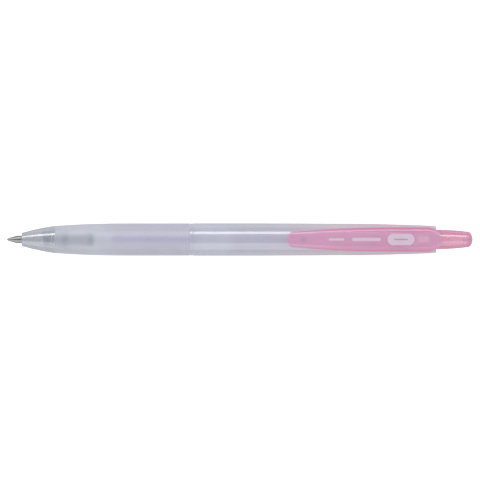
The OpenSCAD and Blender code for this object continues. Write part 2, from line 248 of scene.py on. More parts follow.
def plastic(
    name, colour, rough, alpha, edge_alpha=None, vary=0.04, bump=0.0, grain=1500.0, shine=1.0, scatter=0.0,
    blend=None,
):
    """A moulded plastic: colour that varies a little, uneven gloss, fine surface grain, an opacity that grows
    towards the outline, where the eye looks along the wall, and a shine that clearness doesn't weaken.

    blend is an axis, a start, an end and the colour that takes over between them.
    """
    mat = bpy.data.materials.new(name)
    mat.use_nodes = True
    nodes, links = mat.node_tree.nodes, mat.node_tree.links
    bsdf = nodes["Principled BSDF"]
    coords = nodes.new("ShaderNodeTexCoord").outputs["Object"]
    cloud = nodes.new("ShaderNodeTexNoise")
    cloud.inputs["Scale"].default_value = 160.0
    cloud.inputs["Detail"].default_value = 3.0
    links.new(coords, cloud.inputs["Vector"])
    tint = nodes.new("ShaderNodeValToRGB")
    tint.color_ramp.elements[0].position = 0.3
    tint.color_ramp.elements[1].position = 0.7
    tint.color_ramp.elements[0].color = [c * (1 - vary) for c in colour] + [1]
    tint.color_ramp.elements[1].color = [min(1, c * (1 + vary)) for c in colour] + [1]
    links.new(cloud.outputs["Fac"], tint.inputs["Fac"])
    paint = tint.outputs["Color"]
    if blend:
        paint = blended(nodes, links, coords, paint, *blend)
    links.new(paint, bsdf.inputs["Base Color"])
    fine = nodes.new("ShaderNodeTexNoise")
    fine.inputs["Scale"].default_value = grain
    fine.inputs["Detail"].default_value = 2.0
    links.new(coords, fine.inputs["Vector"])
    gloss = nodes.new("ShaderNodeMapRange")
    gloss.inputs["To Min"].default_value = max(0.02, rough * 0.8)
    gloss.inputs["To Max"].default_value = min(1.0, rough * 1.2)
    links.new(fine.outputs["Fac"], gloss.inputs["Value"])
    links.new(gloss.outputs["Result"], bsdf.inputs["Roughness"])
    mirror = nodes.new("ShaderNodeBsdfGlossy")
    links.new(gloss.outputs["Result"], mirror.inputs["Roughness"])
    if bump:
        relief = nodes.new("ShaderNodeBump")
        relief.inputs["Strength"].default_value = bump
        relief.inputs["Distance"].default_value = 0.02 * MM
        links.new(fine.outputs["Fac"], relief.inputs["Height"])
        links.new(relief.outputs["Normal"], bsdf.inputs["Normal"])
        links.new(relief.outputs["Normal"], mirror.inputs["Normal"])
    bsdf.inputs["Specular IOR Level"].default_value = 0.0
    fresnel = nodes.new("ShaderNodeFresnel")
    fresnel.inputs["IOR"].default_value = 1.5
    gain = nodes.new("ShaderNodeMath")
    gain.operation = "MULTIPLY"
    gain.use_clamp = True
    gain.inputs[1].default_value = shine
    links.new(fresnel.outputs["Fac"], gain.inputs[0])
    most = nodes.new("ShaderNodeMath")
    most.operation = "MINIMUM"
    most.inputs[1].default_value = MOST_SHINE
    links.new(gain.outputs["Value"], most.inputs[0])
    surface = nodes.new("ShaderNodeMixShader")
    links.new(most.outputs["Value"], surface.inputs[0])
    links.new(bsdf.outputs["BSDF"], surface.inputs[1])
    links.new(mirror.outputs["BSDF"], surface.inputs[2])
    links.new(surface.outputs["Shader"], nodes["Material Output"].inputs["Surface"])
    if scatter:
        bsdf.inputs["Subsurface Weight"].default_value = scatter
        bsdf.inputs["Subsurface Radius"].default_value = (0.002, 0.002, 0.002)
        bsdf.inputs["Subsurface Scale"].default_value = 1.0
    if alpha < 1:
        facing = nodes.new("ShaderNodeLayerWeight")
        facing.inputs["Blend"].default_value = 0.5
        power = nodes.new("ShaderNodeMath")
        power.operation = "POWER"
        power.inputs[1].default_value = 0.8
        links.new(facing.outputs["Facing"], power.inputs[0])
        opacity = nodes.new("ShaderNodeMapRange")
        opacity.inputs["To Min"].default_value = alpha
        opacity.inputs["To Max"].default_value = edge_alpha if edge_alpha is not None else alpha
        links.new(power.outputs["Value"], opacity.inputs["Value"])
        links.new(opacity.outputs["Result"], bsdf.inputs["Alpha"])
    return mat


def metal(name, colour, rough, scratch_scale, along=1.0):
    """A metal with fine marks; along stretches them along the pen or, below 1, round it."""
    mat = bpy.data.materials.new(name)
    mat.use_nodes = True
    nodes, links = mat.node_tree.nodes, mat.node_tree.links
    bsdf = nodes["Principled BSDF"]
    coords = nodes.new("ShaderNodeTexCoord")
    mapping = nodes.new("ShaderNodeMapping")
    across = scratch_scale * along
    mapping.inputs["Scale"].default_value = (scratch_scale / along, across, across)
    links.new(coords.outputs["Object"], mapping.inputs["Vector"])
    marks = nodes.new("ShaderNodeTexNoise")
    marks.inputs["Scale"].default_value = 1.0
    marks.inputs["Detail"].default_value = 4.0
    links.new(mapping.outputs["Vector"], marks.inputs["Vector"])
    tint = nodes.new("ShaderNodeValToRGB")
    tint.color_ramp.elements[0].color = [c * 0.86 for c in colour] + [1]
    tint.color_ramp.elements[1].color = [min(1, c * 1.1) for c in colour] + [1]
    links.new(marks.outputs["Fac"], tint.inputs["Fac"])
    links.new(tint.outputs["Color"], bsdf.inputs["Base Color"])
    gloss = nodes.new("ShaderNodeMapRange")
    gloss.inputs["To Min"].default_value = rough * 0.7
    gloss.inputs["To Max"].default_value = rough * 1.3
    links.new(marks.outputs["Fac"], gloss.inputs["Value"])
    links.new(gloss.outputs["Result"], bsdf.inputs["Roughness"])
    relief = nodes.new("ShaderNodeBump")
    relief.inputs["Strength"].default_value = 0.15
    relief.inputs["Distance"].default_value = 0.01 * MM
    links.new(marks.outputs["Fac"], relief.inputs["Height"])
    links.new(relief.outputs["Normal"], bsdf.inputs["Normal"])
    bsdf.inputs["Metallic"].default_value = 1.0
    return mat


nose_skin = plastic("clear_nose", (0.375, 0.402, 0.478), 0.08, 0.44, 0.98, shine=4.8)
bore_skin = plastic("clear_bore", (0.60, 0.62, 0.70), 0.3, 0.5, 0.8, shine=0.2)
inner_skin = plastic("clear_inside", (0.66, 0.67, 0.76), 0.3, 0.08, 0.35, shine=0.2)
thread_skin = plastic("clear_thread", (0.80, 0.82, 0.88), 0.2, 0.10, 1.0, shine=2.0)
rubber = plastic(
    "clear_rubber", (0.50, 0.535, 0.61), 0.40, 0.34, 0.98, bump=0.4, grain=2600.0, shine=1.3,
    blend=("X", -0.043, -0.034, (0.49, 0.48, 0.585)),
)
frosted = plastic(
    "frosted_barrel", (0.48, 0.495, 0.60), 0.10, 0.60, 0.99, shine=3.4,
    blend=("X", -0.010, 0.045, (0.57, 0.48, 0.545)),
)
frosted_inside = plastic("frosted_inside", (0.50, 0.52, 0.66), 0.45, 0.18, 0.5, bump=0.3, shine=0.2)
pink_insert = plastic("pink_insert", (0.60, 0.21, 0.37), 0.25, 0.75, 0.95, shine=0.5)
pink_clip = plastic(
    "pink_clip", (0.66, 0.335, 0.525), 0.10, 0.60, 0.97, shine=2.0,
    blend=("Y", 0.0012, 0.0036, (0.66, 0.20, 0.41)),
)
pink_core = plastic("pink_core", (0.80, 0.74, 0.78), 0.3, 0.75, 0.9, shine=0.4)
# The nub's grey-teal colour is painted shade: it makes the bump under the clip's free end show as a darker,
# greyer spot.
nub_painted_shade = plastic("nub_painted_shade", (0.10, 0.27, 0.31), 0.3, 0.9, 0.95, shine=0.4)
pink_button = plastic("pink_button", (0.665, 0.16, 0.36), 0.16, 0.48, 0.98, shine=3.8)
pink_solid = plastic("pink_solid", (0.62, 0.235, 0.40), 0.12, 0.75, 0.98, shine=2.0)
pink_hollow = plastic("pink_hollow", (0.90, 0.48, 0.60), 0.2, 0.15, 0.4, shine=1.5)
print_ink = plastic("pale_print", (0.64, 0.50, 0.62), 0.4, 1.0, vary=0.02)
print_dark = plastic("grey_print", (0.38, 0.32, 0.38), 0.4, 1.0, vary=0.02)
white_part = plastic("white_acetal", (0.70, 0.70, 0.69), 0.35, 1.0, scatter=0.2)
tube_skin = plastic("milky_tube", (0.62, 0.63, 0.72), 0.22, 0.12, 0.5, shine=0.5)
holder_skin = plastic("milky_holder", (0.58, 0.60, 0.66), 0.25, 0.35, 0.7, shine=0.5)
gel = plastic("lavender_gel", (0.24, 0.195, 0.40), 0.15, 1.0, vary=0.05, shine=0.5)
grease = plastic("clear_grease", (0.70, 0.68, 0.60), 0.2, 0.5, 0.7, shine=0.5)
steel = metal("turned_steel", (0.33, 0.32, 0.308), 0.13, 3500.0, along=0.35)
wire_steel = metal("drawn_wire", (0.24, 0.34, 0.42), 0.6, 2500.0)
ball_metal = metal("polished_ball", (0.16, 0.16, 0.17), 0.08, 6000.0)

# ---------------------------------------------------------------- barrel

NOSE_AT, GRIP_AT, GRIP_END, JOINT_AT = 4.4, 14.5, 55.3, 56.4
NOSE_R, GRIP_START_R, GRIP_R, BARREL_R = 2.0, 4.12, 4.88, 4.9
CORE_START_R, CORE_FULL_AT, CORE_MIDDLE, CORE_R = 3.55, 22, 38, 3.97
COLLAR_R, SPIGOT_R, BORE_R = 4.83, 3.9, 3.7
# The gap inside a pushed joint, and the open seams in front of the grip and the joint, and behind the grip
FIT, SEAM, COLLAR_SEAM = 0.02, 0.03, 0.05
THREAD_FROM, THREAD_TO, THREAD_END, PITCH = 58.4, 67.4, 69.8, 1.0
# The female thread's bore, how much further it is cut at both ends, and the two threads' heights
THREAD_BORE_R, THREAD_SPARE, MALE_HEIGHT, FEMALE_HEIGHT = 4.0, 0.5, 0.24, 0.26
BARREL_END, INSERT_AT, INSERT_R = 130.0, 120.52, 3.0
RIB_AT, RIB_END, RIB_R, RIB_TOOTH, RIB_HALF, RIB_MIDDLE_R = 110.8, 120.5, 3.02, 0.9, 1.3, 3.3
CYLINDER_END, TAPER_AT, BODY_DROP, TAPER_DROP, TAPER_POWER = 76, 103, 0.11, 0.73, 1.7
GRIP_STRAIGHT_AT, NOSE_SLOPE = 35, 0.2847
# The bores for the refill, the spring, the holder and the point, and where the first three start
REFILL_BORE_R, SPRING_BORE_R, HOLDER_BORE_R, TIP_BORE_R = 3.15, 2.6, 1.72, 1.3
REFILL_BORE_AT, SPRING_SEAT_AT, HOLDER_BORE_AT = 23.2, 10.75, 8.6
# How long the slopes are between the refill's and the spring's bore, and the holder's and the point's
SPRING_BORE_RAMP, TIP_BORE_RAMP = 0.7, 0.4
FOOT_AT, FOOT_LEN, FOOT_WIDTH, FOOT_GAP = 126.1, 3.6, 1.9, 0.15
FOOT_BOTTOM, FOOT_TOP = 3.12, 5.6
nose_bend = (NOSE_SLOPE * (GRIP_AT - NOSE_AT) - (GRIP_START_R - NOSE_R)) / (GRIP_AT - NOSE_AT) ** 2


def nose_radius(s):
    return NOSE_R + NOSE_SLOPE * (s - NOSE_AT) - nose_bend * (s - NOSE_AT) ** 2


def grip_radius(s):
    short = max(GRIP_STRAIGHT_AT - s, 0) / (GRIP_STRAIGHT_AT - GRIP_AT)
    return GRIP_R - (GRIP_R - GRIP_START_R) * short**2


def barrel_radius(s):
    if s < CYLINDER_END:
        return BARREL_R
    if s < TAPER_AT:
        return BARREL_R - BODY_DROP * (s - CYLINDER_END) / (TAPER_AT - CYLINDER_END)
    return BARREL_R - BODY_DROP - TAPER_DROP * ((s - TAPER_AT) / (BARREL_END - TAPER_AT)) ** TAPER_POWER


def tooth(s, angle):
    """Height of a helical thread, from 0 in its root to 1 on its crest."""
    t = (s / PITCH - angle / (2 * math.pi)) % 1.0
    return max(0.0, min(1.0, 2.2 - abs(t - 0.5) * 8))


def thread_rows(start, end, r, back=False):
    rows = curve(lambda s: r, start, end, int((end - start) / PITCH * 10))
    return rows[::-1] if back else rows


def fade(s, run=0.8):
    """The thread grows out of the spigot at its start and runs out at its end."""
    return max(0.0, min(1.0, (s - THREAD_FROM) / run, (THREAD_TO - s) / run))


def front_shift(s, r, angle):
    if abs(r - SPIGOT_R) < 1e-6 and THREAD_FROM <= s <= THREAD_TO:
        r += MALE_HEIGHT * fade(s) * tooth(s, angle)
    return s, r


GROOVE_AT, GROOVE_DEPTH = 55.95, 0.06
front_outline = fillet(
    [(NOSE_AT, TIP_BORE_R, 0.08), (NOSE_AT, NOSE_R, 0.16)]
    + curve(nose_radius, NOSE_AT + 0.5, GRIP_AT - 0.12, 20)
    + [(GRIP_AT - SEAM, GRIP_START_R - FIT, 0.06), (GRIP_AT - SEAM, CORE_START_R)]
    + [(CORE_FULL_AT, CORE_R), (CORE_MIDDLE, CORE_R)]
    + [(GRIP_END + COLLAR_SEAM, CORE_R, 0.05), (GRIP_END + COLLAR_SEAM, COLLAR_R, 0.05)]
    + [(GROOVE_AT - GROOVE_DEPTH, COLLAR_R), (GROOVE_AT, COLLAR_R - GROOVE_DEPTH, 0.03)]
    + [(GROOVE_AT + GROOVE_DEPTH, COLLAR_R)]
    + [(JOINT_AT - SEAM, COLLAR_R, 0.05), (JOINT_AT - SEAM, SPIGOT_R, 0.1)]
    + thread_rows(THREAD_FROM, THREAD_TO, SPIGOT_R)
    + [(THREAD_END, SPIGOT_R, 0.3), (THREAD_END, REFILL_BORE_R, 0.1), (REFILL_BORE_AT, REFILL_BORE_R)]
    + [(REFILL_BORE_AT - SPRING_BORE_RAMP, SPRING_BORE_R), (SPRING_SEAT_AT, SPRING_BORE_R)]
    + [(SPRING_SEAT_AT, HOLDER_BORE_R, 0.05), (HOLDER_BORE_AT, HOLDER_BORE_R)]
    + [(HOLDER_BORE_AT - TIP_BORE_RAMP, TIP_BORE_R)]
)
nose_rows = next(i for i, p in enumerate(front_outline) if p[0] > GRIP_AT - 0.04)
collar_first = next(i for i, p in enumerate(front_outline) if p[0] > GRIP_END and p[1] > CORE_R + 0.4)
collar_last = next(i for i, p in enumerate(front_outline) if i > collar_first and p[1] < CORE_R + 0.3)
thread_first = next(i for i, p in enumerate(front_outline) if p[0] >= THREAD_FROM)
thread_last = next(i for i, p in enumerate(front_outline) if p[0] >= THREAD_TO)
bore_first = next(i for i, p in enumerate(front_outline) if i > thread_last and p[0] < SPRING_SEAT_AT + 0.05)

# The places of the front barrel's materials in its list
NOSE, INSIDE, COLLAR, THREAD, BORE = range(5)
front_skins = [nose_skin, inner_skin, frosted, thread_skin, bore_skin]


def front_index(i):
    if i < nose_rows:
        return NOSE
    if collar_first <= i < collar_last:
        return COLLAR
    if i >= bore_first:
        return BORE
    return THREAD if thread_first <= i < thread_last else INSIDE


turned(
    "front_barrel_shell", front_outline, "barrel", front_skins, ["front_barrel"],
    shift=front_shift, index=front_index,
)

# The grip, with the fine rings near its rear end.
RING_HALF, RING_DEPTH = 0.12, 0.04
rings = []
for k in range(2):
    at = GRIP_END - 1.5 + k * 0.8
    rings += [(at - RING_HALF, GRIP_R), (at, GRIP_R - RING_DEPTH, 0.05), (at + RING_HALF, GRIP_R)]
grip_outline = fillet(
    [(GRIP_AT, CORE_START_R + FIT, 0.04), (GRIP_AT, GRIP_START_R, 0.1)]
    + curve(grip_radius, GRIP_AT + 0.5, GRIP_END - 2.2, 48)
    + rings
    + [(GRIP_END, GRIP_R, 0.14), (GRIP_END, CORE_R + FIT, 0.05), (CORE_FULL_AT, CORE_R + FIT)]
)
grip_rows = len(grip_outline) - 4
turned(
    "grip_sleeve", grip_outline, "barrel", [rubber, inner_skin], ["grip"],
    index=lambda i: 0 if i < grip_rows else 1,
)

# The rear barrel: a helical thread in its front, ribs in its rear and a slot for the clip's foot.
rib_half_angle = math.asin(RIB_HALF / RIB_MIDDLE_R)


def on_rib(angle):
    """How far across the nearest rib an angle lies, from -1 to 1, or None between ribs."""
    off = angle % (math.pi / 2) - math.pi / 4
    return off / rib_half_angle if abs(off) <= rib_half_angle else None


# The bore's rows that turn into ribs have a radius of their own, so that they can be told from the rest.
RIB_ROW_R = BORE_R - 0.0001


def rear_shift(s, r, angle):
    if abs(r - THREAD_BORE_R) < 1e-6 and THREAD_FROM - THREAD_SPARE <= s <= THREAD_TO + THREAD_SPARE:
        r += FEMALE_HEIGHT * tooth(s, angle)
    if abs(r - RIB_ROW_R) < 1e-6:
        across = on_rib(angle)
        if across is not None:
            r = RIB_R
            if s < RIB_AT + 0.1:
                s += RIB_TOOTH * ((across + 1) % 1)
    return s, r


def rear_corner(steps=8, along=0.65, across=0.28):
    """The rounded outer edge of the rear barrel's end: a quarter of an ellipse."""
    end_r = barrel_radius(BARREL_END)
    angles = [math.pi / 2 * i / steps for i in range(steps + 1)]
    return [(BARREL_END - along * (1 - math.sin(a)), end_r - across * (1 - math.cos(a))) for a in angles]


rear_outline = fillet(
    [(JOINT_AT, THREAD_BORE_R, 0.05), (JOINT_AT, BARREL_R, 0.12)]
    + curve(barrel_radius, 57, BARREL_END - 0.8, 60)
    + rear_corner()
    + [(BARREL_END, BORE_R, 0.06), (RIB_END, BORE_R)]
    + [(RIB_END, RIB_ROW_R), (RIB_AT, RIB_ROW_R), (RIB_AT - 0.01, BORE_R), (70.4, BORE_R)]
    + [(70.0, THREAD_BORE_R)]
    + thread_rows(THREAD_FROM - THREAD_SPARE, THREAD_TO + THREAD_SPARE, THREAD_BORE_R, back=True)
)
rear_rows = next(i for i, p in enumerate(rear_outline) if p[0] > BARREL_END - 0.2 and p[1] < BORE_R + 0.12)
rear_barrel = turned(
    "rear_barrel_shell", rear_outline, "barrel", [frosted, frosted_inside], ["rear_barrel"],
    shift=rear_shift, index=lambda i: 0 if i < rear_rows else 1,
)
insert = turned(
    "tail_insert_ring",
    fillet([
        (INSERT_AT, INSERT_R, 0.1), (INSERT_AT, BORE_R - FIT, 0.08), (BARREL_END, BORE_R - FIT, 0.06),
        (BARREL_END, INSERT_R, 0.2),
    ]),
    "barrel", pink_insert, ["tail_insert"],
)
slot_mesh = bmesh.new()
block(
    slot_mesh, FOOT_AT - FOOT_LEN / 2 - FOOT_GAP, FOOT_AT + FOOT_LEN / 2 + FOOT_GAP, 2, 6,
    FOOT_WIDTH / 2 + FOOT_GAP, bevel=0.2,
)
cutter = finish_mesh("slot_cutter", slot_mesh, None, frosted, None)
cut(rear_barrel, cutter)
cut(insert, cutter)
bpy.data.objects.remove(cutter)

# ---------------------------------------------------------------- refill

# The steel point: the places of its lip, cone and shoulder, the fine groove round its shank, and its rear end
LIP_AT, CONE_AT, SHOULDER_AT, MARK_AT, POINT_END = 0.17, 1.0, 2.9, 5.3, 13.2
MARK_HALF, MARK_FLOOR_HALF, MARK_DEPTH = 0.1, 0.04, 0.04
POINT_R, POINT_SPIGOT_R, POINT_BORE_R, FEED_R, SOCKET_R = 1.19, 0.95, 0.55, 0.2, 0.36
# Inside it, from the rear: the front of its bore, both ends of its feed channel and the socket's rear
BORE_FROM, FEED_TO, FEED_FROM, SOCKET_TO = 2.0, 1.6, 0.76, 0.54
BALL_R, CHECK_BALL_AT, CHECK_BALL_R = 0.35, 15.3, 0.75
# The holder: its front, the check ball's chamber and the seat behind it, its flange and its funnel to the ink
HOLDER_AT, CHAMBER_AT, CHAMBER_END, SEAT_LEN, FLANGE_AT = 10.4, 13.5, 16.6, 0.5, 26.25
HOLDER_R, CHAMBER_R, CHANNEL_R, FUNNEL_R, FUNNEL_LEN = 1.6, 1.0, 0.5, 1.9, 2.6
NOSE_DRAFT, NOSE_DRAFT_LEN, MOUTH_EDGE = 0.15, 2, 0.2
# The tube and what fills it, from the ink in the holder's channel to the grease behind the ink
TUBE_AT, TUBE_END, TUBE_R, TUBE_BORE_R = 27.0, 104.0, 2.95, 2.2
INK_FROM, INK_AT, INK_END, FOLLOWER_END = 17.2, 31.7, 92.4, 97.5
FILL_R = TUBE_BORE_R - FIT
# The tail plug, its lead-in, its vent and the recess in its end
PLUG_AT, PLUG_END, LEAD_IN, LEAD_IN_LEN = 100.6, 104.62, 0.2, 0.4
VENT_R, RECESS_R, RECESS_DEPTH = 0.4, 1.35, 1.2

turned(
    "steel_point",
    fillet([
        (LIP_AT + 0.03, 0.3), (LIP_AT, 0.345), (LIP_AT + 0.05, 0.385, 0.02), (CONE_AT, 0.62, 0.3),
        (SHOULDER_AT, 1.165, 0.25), (SHOULDER_AT + 0.3, POINT_R),
        (MARK_AT - MARK_HALF, POINT_R, 0.02), (MARK_AT - MARK_FLOOR_HALF, POINT_R - MARK_DEPTH, 0.02),
        (MARK_AT + MARK_FLOOR_HALF, POINT_R - MARK_DEPTH, 0.02), (MARK_AT + MARK_HALF, POINT_R, 0.02),
        (HOLDER_AT - FIT, POINT_R, 0.05), (HOLDER_AT - FIT, POINT_SPIGOT_R),
        (POINT_END, POINT_SPIGOT_R, 0.05), (POINT_END, POINT_BORE_R, 0.05), (BORE_FROM, POINT_BORE_R),
        (FEED_TO, FEED_R), (FEED_FROM, FEED_R), (SOCKET_TO, SOCKET_R),
    ]),
    "refill", steel, ["tip"],
)


def ball(name, at, r, body, material, node):
    bm = bmesh.new()
    outline = [(at - r * math.cos(math.pi * i / 24), r * math.sin(math.pi * i / 24)) for i in range(25)]
    lathe(bm, [(s, 0.0 if k in (0, 24) else rr) for k, (s, rr) in enumerate(outline)], segments=48)
    return finish_mesh(name, bm, body, material, [node])


ball("writing_ball", BALL_R, BALL_R, "ball", ball_metal, "tip_ball")
ball("valve_ball", CHECK_BALL_AT, CHECK_BALL_R, "check_ball", ball_metal, "check_ball")
turned(
    "point_holder",
    fillet([
        (HOLDER_AT, POINT_SPIGOT_R + FIT), (HOLDER_AT, HOLDER_R - NOSE_DRAFT, 0.1),
        (HOLDER_AT + NOSE_DRAFT_LEN, HOLDER_R), (FLANGE_AT, HOLDER_R, 0.15), (FLANGE_AT, TUBE_R, 0.12),
        (TUBE_AT - FIT, TUBE_R, 0.1), (TUBE_AT - FIT, FILL_R), (INK_AT - MOUTH_EDGE, FILL_R, 0.2),
        (INK_AT, FUNNEL_R), (INK_AT - FUNNEL_LEN, CHANNEL_R), (CHAMBER_END + SEAT_LEN, CHANNEL_R),
        (CHAMBER_END, CHAMBER_R), (CHAMBER_AT, CHAMBER_R, 0.05), (CHAMBER_AT, POINT_SPIGOT_R + FIT),
    ]),
    "refill", holder_skin, ["tip_holder"],
)
turned(
    "refill_tube_wall",
    fillet([
        (TUBE_AT, TUBE_BORE_R), (TUBE_AT, TUBE_R, 0.06), (TUBE_END, TUBE_R, 0.1),
        (TUBE_END, TUBE_BORE_R, 0.1),
    ]),
    "refill", tube_skin, ["refill_tube"],
)
turned(
    "ink_column",
    fillet([
        (INK_FROM, 0.0), (INK_FROM, CHANNEL_R - FIT), (INK_AT - FUNNEL_LEN, CHANNEL_R - FIT),
        (INK_AT + FIT, FUNNEL_R - FIT), (INK_AT + FIT, FILL_R), (INK_END - 0.8, FILL_R), (INK_END - 0.4, 2.0),
        (INK_END - 0.1, 1.4), (INK_END, 0.0),
    ]),
    "refill", gel, ["ink"],
)
turned(
    "follower_grease",
    fillet([
        (INK_END + FIT, 0.0), (INK_END - 0.06, 1.4), (INK_END - 0.35, 2.0), (INK_END - 0.7, FILL_R),
        (FOLLOWER_END, FILL_R), (FOLLOWER_END - 0.4, 1.7), (FOLLOWER_END - 0.6, 0.0),
    ]),
    "refill", grease, ["ink_follower"],
)
turned(
    "vent_plug",
    fillet([
        (PLUG_AT, VENT_R), (PLUG_AT, TUBE_BORE_R - LEAD_IN, 0.1), (PLUG_AT + LEAD_IN_LEN, FILL_R),
        (TUBE_END + FIT, FILL_R), (TUBE_END + FIT, TUBE_R, 0.1), (PLUG_END, TUBE_R, 0.15),
        (PLUG_END, RECESS_R, 0.1), (PLUG_END - RECESS_DEPTH, RECESS_R), (PLUG_END - RECESS_DEPTH, VENT_R),
    ]),
    "refill", white_part, ["tail_plug"],
)

# The spring: closed stretches at both ends and in the middle, and open coils between them.
# Each stretch is given by its turns and its length.
WIRE_R, COIL_R, SPRING_AT, SPRING_END = 0.18, 2.1, 10.77, 26.23
stretches = ((5.0, 1.95), (4.0, 3.8), (4.0, 1.55), (6.0, 6.2), (4.0, 1.6))


def spring_mesh(turn_steps=28, sides=12):
    bm = bmesh.new()
    total = sum(t for t, _ in stretches)
    count = int(total * turn_steps)
    rings = []
    for i in range(count + 1):
        turn = total * i / count
        s, left = SPRING_AT + WIRE_R, turn
        for turns, length in stretches:
            part = min(left, turns)
            s += length * part / turns
            left -= part
        angle = 2 * math.pi * turn
        ring = []
        for k in range(sides):
            b = 2 * math.pi * k / sides
            taper = min(1.0, 0.55 + 0.45 * min(i, count - i) / 6)
            ring.append(bm.verts.new(polar(
                s + WIRE_R * taper * math.sin(b), COIL_R + WIRE_R * taper * math.cos(b), angle
            )))
        rings.append(ring)
    for a, b in zip(rings, rings[1:]):
        for k in range(sides):
            n = (k + 1) % sides
            bm.faces.new([a[k], a[n], b[n], b[k]])
    bm.faces.new(rings[0][::-1])
    bm.faces.new(rings[-1])
    return bm


spring = finish_mesh("return_spring", spring_mesh(), None, wire_steel, ["spring"], sharp=60)
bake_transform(spring)

# ---------------------------------------------------------------- click mechanism

GROOVES, TEETH, CROWN_DEPTH = 4, 8, 0.7
FIN_ROOT_R, FIN_R, FIN_HALF = 2.3, 3.55, 0.85
# The button's guides: where they start and end, and how much smaller than the rotor's fins they are
GUIDE_AT, GUIDE_END, GUIDE_TRIM = 111.9, 114.8, 0.05
# A place behind the teeth of both crowns, where the outlines have a ring that the teeth don't move
CROWN_BACK = 112.0


def button_extra(bm):
    for k in range(GROOVES):
        angle = 2 * math.pi * k / GROOVES
        block(bm, GUIDE_AT, GUIDE_END, FIN_ROOT_R, FIN_R - GUIDE_TRIM, FIN_HALF - GUIDE_TRIM, angle)


def crown_shift(sign, at):
    """Moves the rings of an end face so that it forms a crown of teeth."""
    def shift(s, r, angle):
        if abs(s - at) < 0.05 and r > 1.3:
            t = (angle * TEETH / (2 * math.pi)) % 1.0
            s += sign * CROWN_DEPTH * (1 - abs(2 * t - 1))
        return s, r
    return shift


BUTTON_AT, BUTTON_R, BUTTON_TIP_R, BUTTON_BORE_R, BUTTON_ROD_R = 111.0, 2.92, 2.4, 1.5, 2.6
BUTTON_ROD_END, BUTTON_SKIRT_AT = 114.6, 115.1
BUTTON_STRAIGHT_END, BUTTON_CAP_AT, BUTTON_BORE_END = 132, 139.2, 138.6
CAP_LEN = LENGTH - BUTTON_CAP_AT


def button_radius(s):
    along = max(s - BUTTON_STRAIGHT_END, 0) / (BUTTON_CAP_AT - BUTTON_STRAIGHT_END)
    return BUTTON_R - (BUTTON_R - BUTTON_TIP_R) * along**1.55


def button_cap(steps=12):
    """The button's rounded end: flat in its middle, with soft corners."""
    points = []
    for i in range(1, steps + 1):
        s = LENGTH - CAP_LEN * (1 - math.sin(math.pi / 2 * i / steps))
        points.append((s, BUTTON_TIP_R * max(0.0, 1 - ((s - BUTTON_CAP_AT) / CAP_LEN) ** 2.8) ** 0.62))
    return points


button_outline = fillet(
    [(BUTTON_AT, BUTTON_BORE_R), (BUTTON_AT, BUTTON_ROD_R), (CROWN_BACK, BUTTON_ROD_R)]
    + [(BUTTON_ROD_END, BUTTON_ROD_R, 0.1), (BUTTON_SKIRT_AT, BUTTON_R, 0.15)]
    + curve(button_radius, BUTTON_STRAIGHT_END - 1, BUTTON_CAP_AT - 0.2, 14)
    + button_cap()
    + [(BUTTON_BORE_END, 0.0), (BUTTON_BORE_END, BUTTON_BORE_R, 0.7), (CROWN_BACK, BUTTON_BORE_R)]
)
solid_first = next(i for i, p in enumerate(button_outline) if p[0] > BUTTON_BORE_END)
hollow_first = next(i for i, p in enumerate(button_outline) if p[0] > LENGTH - 0.001) + 1
# The places of the button's materials in its list
WALL, HOLLOW, SOLID_END = range(3)


def button_index(i):
    return WALL if i < solid_first else SOLID_END if i < hollow_first else HOLLOW


turned(
    "click_button", button_outline, "button", [pink_button, pink_hollow, pink_solid], ["push_button"],
    shift=crown_shift(1, BUTTON_AT), extra=button_extra, index=button_index,
)

BOSS_AT, ROTOR_AT, FIN_AT, FIN_END, ROTOR_END, STEM_END = 103.9, 104.7, 107.0, 110.0, 110.9, 116.5
BOSS_R, ROTOR_R, STEM_R = 1.2, 2.55, 1.42


def rotor_extra(bm):
    for k in range(GROOVES):
        angle = 2 * math.pi * k / GROOVES
        block(bm, FIN_AT, FIN_END, FIN_ROOT_R, FIN_R, FIN_HALF, angle, slope=-0.5)


turned(
    "cam_rotor",
    fillet([
        (BOSS_AT, 0.0), (BOSS_AT, BOSS_R, 0.1), (ROTOR_AT, BOSS_R), (ROTOR_AT, ROTOR_R, 0.12),
        (ROTOR_END - CROWN_DEPTH, ROTOR_R), (ROTOR_END, ROTOR_R), (ROTOR_END, STEM_R), (CROWN_BACK, STEM_R),
        (STEM_END, STEM_R, 0.3), (STEM_END, 0.0),
    ]),
    "rotor", white_part, ["rotor"], shift=crown_shift(-1, ROTOR_END), extra=rotor_extra,
)

# ---------------------------------------------------------------- clip

CLIP_AT, CLIP_END, CLIP_HALF = 84.8, 131.7, 3.7
# Where the clip is widest and where it is highest, that height, and what it loses of it towards both ends
WIDEST_AT, CREST_AT, CREST_H, FREE_DROP, TAIL_DROP = 117, 112, 7.3, 0.55, 1.45
SIDE_ARC_R, FREE_ROUND, TAIL_ROUND, CROWN_DROP = 350, 2.1, 4.7, 0.75
# The underside's height along the arm, its step down to the barrel and its lift at the free end
ARM_UNDER, STEP_FROM, STEP_LEN, STEP_DROP, LIFT_LEN, FREE_LIFT = 5.78, 116.5, 5.5, 1.02, 1.8, 0.35
NUB_AT, NUB_R, NUB_REACH = 89.8, 0.85, 4.89
# The places of the foot's and the nub's materials in the clip's list, after the arm's
FOOT, NUB = 1, 2


def clip_half(s):
    """Half of the clip's width: a blunt free end, long shallow sides and a half-oval rear end."""
    half = CLIP_HALF - max(WIDEST_AT - s, 0) ** 2 / (2 * SIDE_ARC_R)
    front = (s - CLIP_AT) / FREE_ROUND
    if front < 1:
        half *= math.sqrt(max(0.0, 1 - (1 - front) ** 2.4))
    rear = (s - (CLIP_END - TAIL_ROUND)) / TAIL_ROUND
    if rear > 0:
        half *= math.sqrt(max(0.0, 1 - rear**2))
    return half


